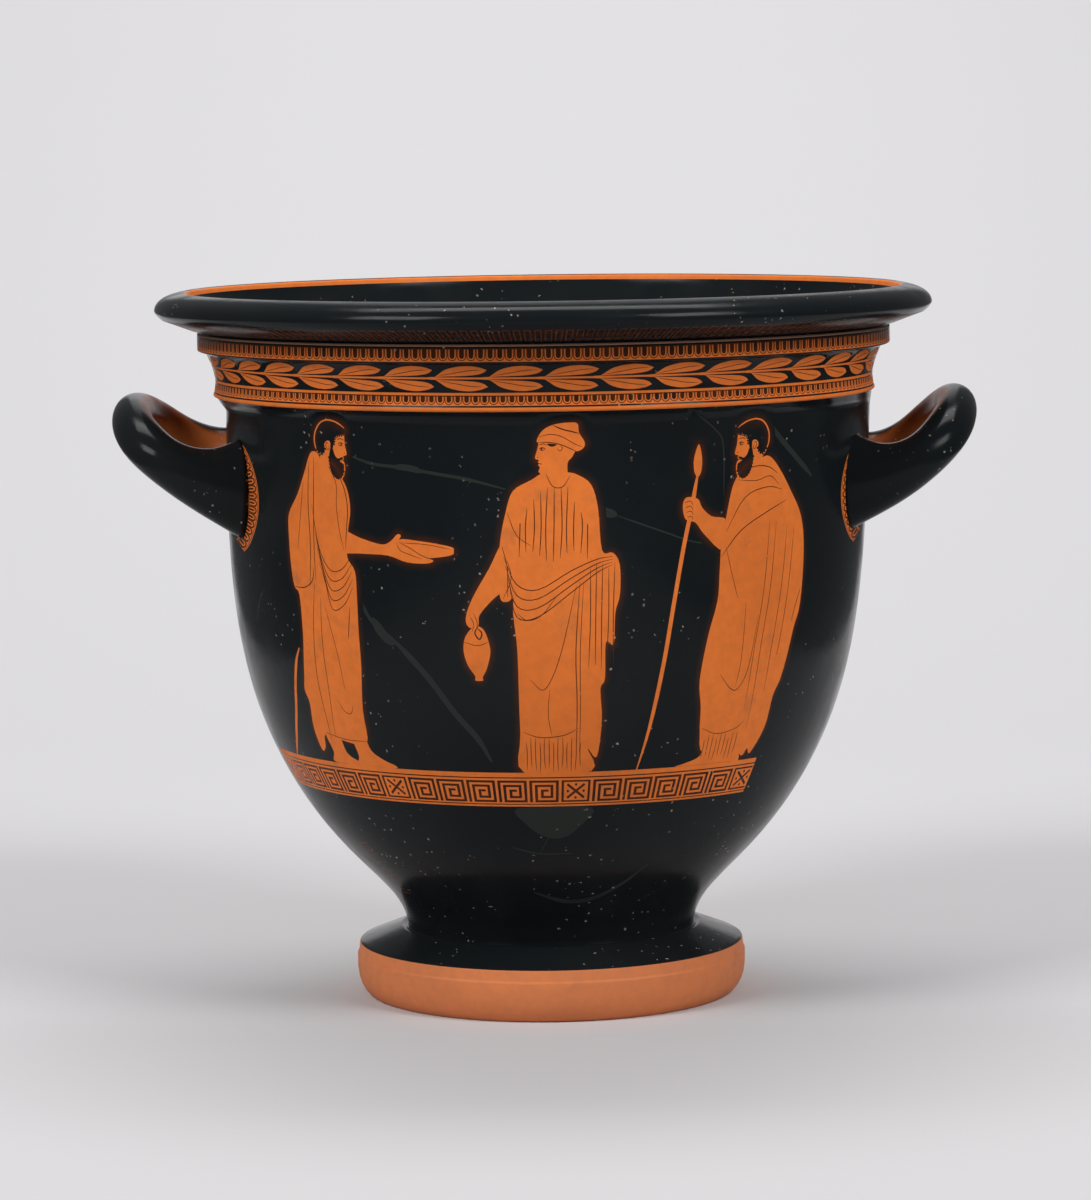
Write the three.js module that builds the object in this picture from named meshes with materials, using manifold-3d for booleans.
// A Greek bell krater, a wide bowl for mixing wine and water, in fired clay.
// Bowl, neck, foot and the two loop handles were joined while the clay was
// damp and fired together, so the whole vessel is one hollow solid.
//
// Millimetres, +Z up. The origin is the centre of the resting ring under the
// foot. The handles lie along X and the front of the vessel faces -Y.

import * as THREE from 'three';
import { mergeVertices } from 'three/addons/utils/BufferGeometryUtils.js';
import Module from 'manifold-3d';

// ---------------------------------------------------------------------------
// Driving dimensions
// ---------------------------------------------------------------------------

const TOTAL_HEIGHT = 411;        // resting ring to the crest of the lip
const TURN_SEGMENTS = 64;        // facets round the vessel

// Foot: a thick disc with a convex side, hollow underneath
const REST_RING_INNER = 92;
const REST_RING_OUTER = 106;
const FOOT_RADIUS = 113.5;
const FOOT_WIDEST_Z = 18;
const FOOT_STEP_Z = 23.4;        // fine step that runs round the side
const FOOT_STEP_IN = 0.9;
const FOOT_EDGE_Z = 30.4;        // top edge of the side
const FOOT_TOP_INNER = 87;       // where the sloping top meets the stem groove
const FOOT_TOP_Z = 40;
const HOLLOW_RADIUS = 50;        // flat roof of the hollow under the foot
const HOLLOW_Z = 48;

// Stem and bowl
const STEM_RADIUS = 83.4;
const STEM_Z = 41;
const BOWL_START_RADIUS = 85.4;
const BOWL_START_Z = 47.5;
const BOWL_MIDDLE_RADIUS = 155.8;
const BOWL_MIDDLE_Z = 141;
const BOWL_TOP_RADIUS = 186.3;
const BOWL_TOP_Z = 349.5;
const BOWL_WALL = 8;
const BOWL_FLOOR_Z = 60;         // inside, at the axis

// Neck: a ridge, a hollow moulding and a plain upright band
const RIDGE_RADIUS = 191.2;
const RIDGE_Z = 352.2;
const NECK_RADIUS = 195.2;       // top of the hollow moulding
const NECK_TOP_Z = 376.4;
const BAND_RADIUS = 200;
const BAND_BOTTOM_Z = 377.4;
const BAND_TOP_Z = 387;

// Lip: a rolled edge that overhangs the neck
const LIP_RADIUS = 224.4;
const LIP_WIDEST_Z = 400.2;
const LIP_UNDER_RADIUS = 198;    // where its underside meets the neck
const LIP_UNDER_Z = 388.6;
const CREST_RADIUS = 208;
const MOUTH_RADIUS = 204.6;

// Handles: loops that rise outward, flared where they join the bowl
const HANDLE_SECTIONS = 15;      // cross-sections from one root to the other
const HANDLE_SIDES = 12;
const HANDLE_ROOT_RADIUS = 183;  // inside the thickness of the wall
const HANDLE_ROOT_TURN = 19.8;   // degrees either side of the X axis
const HANDLE_REACH = 238;        // middle of the bend, from the axis
const HANDLE_BEND_Z = 341;
const HANDLE_LEAD_OUT = 47;      // how far the root leads straight outward
const HANDLE_BEND_HALF = 74;     // fullness of the bend
const HANDLE_BEND_THICK = 21.8;
const HANDLE_ARM_WIDTH = 30;
const HANDLE_ARM_HEIGHT = 24;
const HANDLE_FLARE_WIDTH = 33;   // at the root
const HANDLE_FLARE_HEIGHT = 58;
const HANDLE_FLARE_POWER = 5;    // how late the flare opens
const HANDLE_TWIST = -1.2;       // degrees, the loops were set on by hand
const HANDLES = [                // leadUp is how far the root leads upward
  { faces: 0, rootZ: 300.2, leadUp: -1 },
  { faces: 180, rootZ: 302.2, leadUp: 7.2 },
];

// The bowl leans a little under its neck, as thrown ware does
const LEAN_X = 2.4;              // sideways, at the top of the bowl
const LEAN_START_Z = 190;

// ---------------------------------------------------------------------------
// Profile
// ---------------------------------------------------------------------------

// Adds to an outline the points of a Bezier curve that starts at its last
// point. Three pairs make a cubic curve and two make a quadratic one.
function addCurve(outline, steps, ...pairs) {
  const controls = pairs.map(([radius, z]) => new THREE.Vector2(radius, z));
  const start = outline[outline.length - 1];
  const Curve = pairs.length === 3 ? THREE.CubicBezierCurve : THREE.QuadraticBezierCurve;
  outline.push(...new Curve(start, ...controls).getPoints(steps).slice(1));
}

function addCorners(outline, ...pairs) {
  for (const [radius, z] of pairs) {
    outline.push(new THREE.Vector2(radius, z));
  }
}

// Half section from the axis under the foot, up the outside, over the lip and
// back to the axis inside the bowl. x is the radius and y the height.
function vesselProfile() {
  const outline = [];

  // hollow under the foot and the flat ring it rests on
  addCorners(outline, [0, HOLLOW_Z], [HOLLOW_RADIUS, HOLLOW_Z]);
  addCurve(outline, 3, [HOLLOW_RADIUS + 26, HOLLOW_Z - 6], [REST_RING_INNER, 0]);
  addCorners(outline, [REST_RING_OUTER, 0]);

  // convex side of the foot, its fine step and its sloping top
  const stepRadius = FOOT_RADIUS - FOOT_STEP_IN;
  addCurve(outline, 4, [FOOT_RADIUS, 5], [FOOT_RADIUS, FOOT_WIDEST_Z]);
  addCorners(
    outline,
    [FOOT_RADIUS, FOOT_STEP_Z],
    [stepRadius, FOOT_STEP_Z + 0.8],
    [stepRadius - 0.6, FOOT_EDGE_Z],
    [FOOT_TOP_INNER, FOOT_TOP_Z],
  );

  // groove, stem and the two long curves of the bowl
  addCorners(
    outline,
    [STEM_RADIUS + 0.2, STEM_Z - 2.4],
    [STEM_RADIUS, STEM_Z],
    [BOWL_START_RADIUS, BOWL_START_Z],
  );
  const middle = [BOWL_MIDDLE_RADIUS, BOWL_MIDDLE_Z];
  addCurve(outline, 6, [93.8, 71.1], [126.5, 82.7], middle);
  addCurve(outline, 6, [183.5, 196.1], [185.3, 254.9], [BOWL_TOP_RADIUS, BOWL_TOP_Z]);

  // ridge, hollow moulding and upright band of the neck
  addCorners(outline, [RIDGE_RADIUS, RIDGE_Z - 1], [RIDGE_RADIUS, RIDGE_Z]);
  const hollowLow = [RIDGE_RADIUS - 3, RIDGE_Z + 6];
  const hollowHigh = [NECK_RADIUS - 4.7, NECK_TOP_Z - 10];
  addCurve(outline, 4, hollowLow, hollowHigh, [NECK_RADIUS, NECK_TOP_Z]);
  addCorners(outline, [BAND_RADIUS, BAND_BOTTOM_Z], [BAND_RADIUS, BAND_TOP_Z]);

  // underside, roll and crest of the lip
  addCorners(outline, [LIP_UNDER_RADIUS, LIP_UNDER_Z]);
  addCurve(outline, 3, [LIP_RADIUS - 5, LIP_UNDER_Z + 2.6], [LIP_RADIUS, LIP_WIDEST_Z]);
  const rollLow = [LIP_RADIUS, LIP_WIDEST_Z + 5];
  const rollHigh = [LIP_RADIUS - 5, TOTAL_HEIGHT - 1.5];
  addCurve(outline, 5, rollLow, rollHigh, [CREST_RADIUS, TOTAL_HEIGHT]);
  addCurve(outline, 2, [MOUTH_RADIUS + 0.4, TOTAL_HEIGHT - 0.4], [MOUTH_RADIUS, TOTAL_HEIGHT - 3]);

  // inside of the neck and the bowl, back to the axis
  const insideTop = [BOWL_TOP_RADIUS - BOWL_WALL, BOWL_TOP_Z];
  const insideMiddle = [BOWL_MIDDLE_RADIUS - BOWL_WALL + 1, BOWL_MIDDLE_Z + 4];
  addCurve(outline, 4, [200, 396], [181, 382], insideTop);
  addCurve(outline, 5, [185.3 - BOWL_WALL, 254.9], [183.5 - BOWL_WALL, 200], insideMiddle);
  addCurve(outline, 5, [124, 92], [75, BOWL_FLOOR_Z], [0, BOWL_FLOOR_Z]);
  return outline;
}

// Sideways lean of the bowl at a height, which ends where the neck begins.
function bowlLean(z) {
  const share = THREE.MathUtils.inverseLerp(LEAN_START_Z, BOWL_TOP_Z, z);
  return share < 0 || z > BOWL_TOP_Z + 0.1 ? 0 : LEAN_X * share * share;
}

function vesselGeometry() {
  const geometry = new THREE.LatheGeometry(vesselProfile(), TURN_SEGMENTS);
  geometry.rotateX(Math.PI / 2);
  const position = geometry.attributes.position;
  for (let i = 0; i < position.count; i += 1) {
    position.setX(i, position.getX(i) + bowlLean(position.getZ(i)));
  }
  return geometry;
}

// ---------------------------------------------------------------------------
// Handles
// ---------------------------------------------------------------------------

// Centre line of a handle on the +X side. Its two halves mirror each other in
// Y: each leaves the wall straight outward, spreads a little and swings round
// into the bend, rising all the way.
function handleCentreLine({ rootZ, leadUp }) {
  const turn = THREE.MathUtils.degToRad(HANDLE_ROOT_TURN);
  const leadEnd = HANDLE_ROOT_RADIUS + HANDLE_LEAD_OUT;
  const outX = Math.cos(turn);
  return [-1, 1].map((side) => {
    const outY = side * Math.sin(turn);
    const points = [
      [HANDLE_ROOT_RADIUS * outX, HANDLE_ROOT_RADIUS * outY, rootZ],
      [leadEnd * outX, leadEnd * outY, rootZ + leadUp],
      [HANDLE_REACH, side * HANDLE_BEND_HALF, HANDLE_BEND_Z],
      [HANDLE_REACH, 0, HANDLE_BEND_Z],
    ].map((point) => new THREE.Vector3(...point));
    return new THREE.CubicBezierCurve3(...(side < 0 ? points : points.reverse()));
  });
}

// Half width and half height of the section at a share of the way round, and
// how far it has opened into the flare, from 0 to 1.
function handleSection(share) {
  const { lerp, smoothstep } = THREE.MathUtils;
  const fromBend = Math.abs(2 * share - 1);
  const swell = smoothstep(fromBend, 0, 0.6);
  const flare = Math.pow(fromBend, HANDLE_FLARE_POWER);
  const width = lerp(lerp(HANDLE_BEND_THICK, HANDLE_ARM_WIDTH, swell), HANDLE_FLARE_WIDTH, flare);
  const height = lerp(lerp(HANDLE_BEND_THICK, HANDLE_ARM_HEIGHT, swell), HANDLE_FLARE_HEIGHT, flare);
  return [width / 2, height / 2, flare];
}

// Closed loft of oval sections, square to the centre line and upright at the
// roots, with flat ends that lie inside the wall.
function handleGeometry(handle) {
  const arms = handleCentreLine(handle);
  const slope = Math.tan(THREE.MathUtils.degToRad(HANDLE_TWIST));
  const up = new THREE.Vector3(0, 0, 1);
  const vertices = [];
  const triangles = [];
  for (let ring = 0; ring < HANDLE_SECTIONS; ring += 1) {
    const share = ring / (HANDLE_SECTIONS - 1);
    const arm = arms[share < 0.5 ? 0 : 1];
    const along = share < 0.5 ? 2 * share : 2 * share - 1;
    const centre = arm.getPoint(along);
    const ahead = arm.getTangent(along);
    const across = new THREE.Vector3().crossVectors(ahead, up).normalize();
    const [halfWidth, halfHeight, flare] = handleSection(share);
    const rise = new THREE.Vector3().crossVectors(across, ahead).lerp(up, flare).normalize();
    for (let side = 0; side < HANDLE_SIDES; side += 1) {
      const angle = (side / HANDLE_SIDES) * 2 * Math.PI;
      const point = centre.clone();
      point.addScaledVector(across, halfWidth * Math.cos(angle));
      point.addScaledVector(rise, halfHeight * Math.sin(angle));
      vertices.push(point.x, point.y, point.z + point.y * slope);
    }
  }
  for (let ring = 0; ring < HANDLE_SECTIONS - 1; ring += 1) {
    for (let side = 0; side < HANDLE_SIDES; side += 1) {
      const next = (side + 1) % HANDLE_SIDES;
      const a = ring * HANDLE_SIDES + side;
      const b = ring * HANDLE_SIDES + next;
      triangles.push(a, a + HANDLE_SIDES, b, b, a + HANDLE_SIDES, b + HANDLE_SIDES);
    }
  }
  const last = (HANDLE_SECTIONS - 1) * HANDLE_SIDES;
  for (let side = 1; side < HANDLE_SIDES - 1; side += 1) {
    triangles.push(0, side, side + 1);
    triangles.push(last, last + side + 1, last + side);
  }
  const geometry = new THREE.BufferGeometry();
  geometry.setAttribute('position', new THREE.Float32BufferAttribute(vertices, 3));
  geometry.setIndex(triangles);
  return geometry;
}

// ---------------------------------------------------------------------------
// Joining
// ---------------------------------------------------------------------------

const wasm = await Module();
wasm.setup();

// Closed solid of a geometry: shared corners merged, empty triangles dropped.
function solidOf(geometry) {
  const bare = geometry.clone();
  bare.deleteAttribute('normal');
  bare.deleteAttribute('uv');
  const merged = mergeVertices(bare, 1e-3);
  const index = merged.index.array;
  const kept = [];
  for (let i = 0; i < index.length; i += 3) {
    const [a, b, c] = [index[i], index[i + 1], index[i + 2]];
    if (a !== b && b !== c && c !== a) {
      kept.push(a, b, c);
    }
  }
  return new wasm.Manifold(new wasm.Mesh({
    numProp: 3,
    vertProperties: new Float32Array(merged.attributes.position.array),
    triVerts: new Uint32Array(kept),
  }));
}

function geometryOf(solid) {
  const mesh = solid.getMesh();
  const geometry = new THREE.BufferGeometry();
  geometry.setAttribute('position', new THREE.Float32BufferAttribute(mesh.vertProperties, 3));
  geometry.setIndex(Array.from(mesh.triVerts));
  geometry.computeVertexNormals();
  return geometry;
}

function kraterGeometry() {
  let solid = solidOf(vesselGeometry());
  for (const handle of HANDLES) {
    const turned = handleGeometry(handle).rotateZ(THREE.MathUtils.degToRad(handle.faces));
    solid = solid.add(solidOf(turned));
  }
  return geometryOf(solid);
}

// ---------------------------------------------------------------------------
// Object
// ---------------------------------------------------------------------------

const blackGloss = new THREE.MeshStandardMaterial({
  color: 0x1a1b1f,
  roughness: 0.3,
  metalness: 0,
});

const krater = new THREE.Mesh(kraterGeometry(), blackGloss);
krater.name = 'krater';

const group = new THREE.Group();
group.add(krater);

export default group;
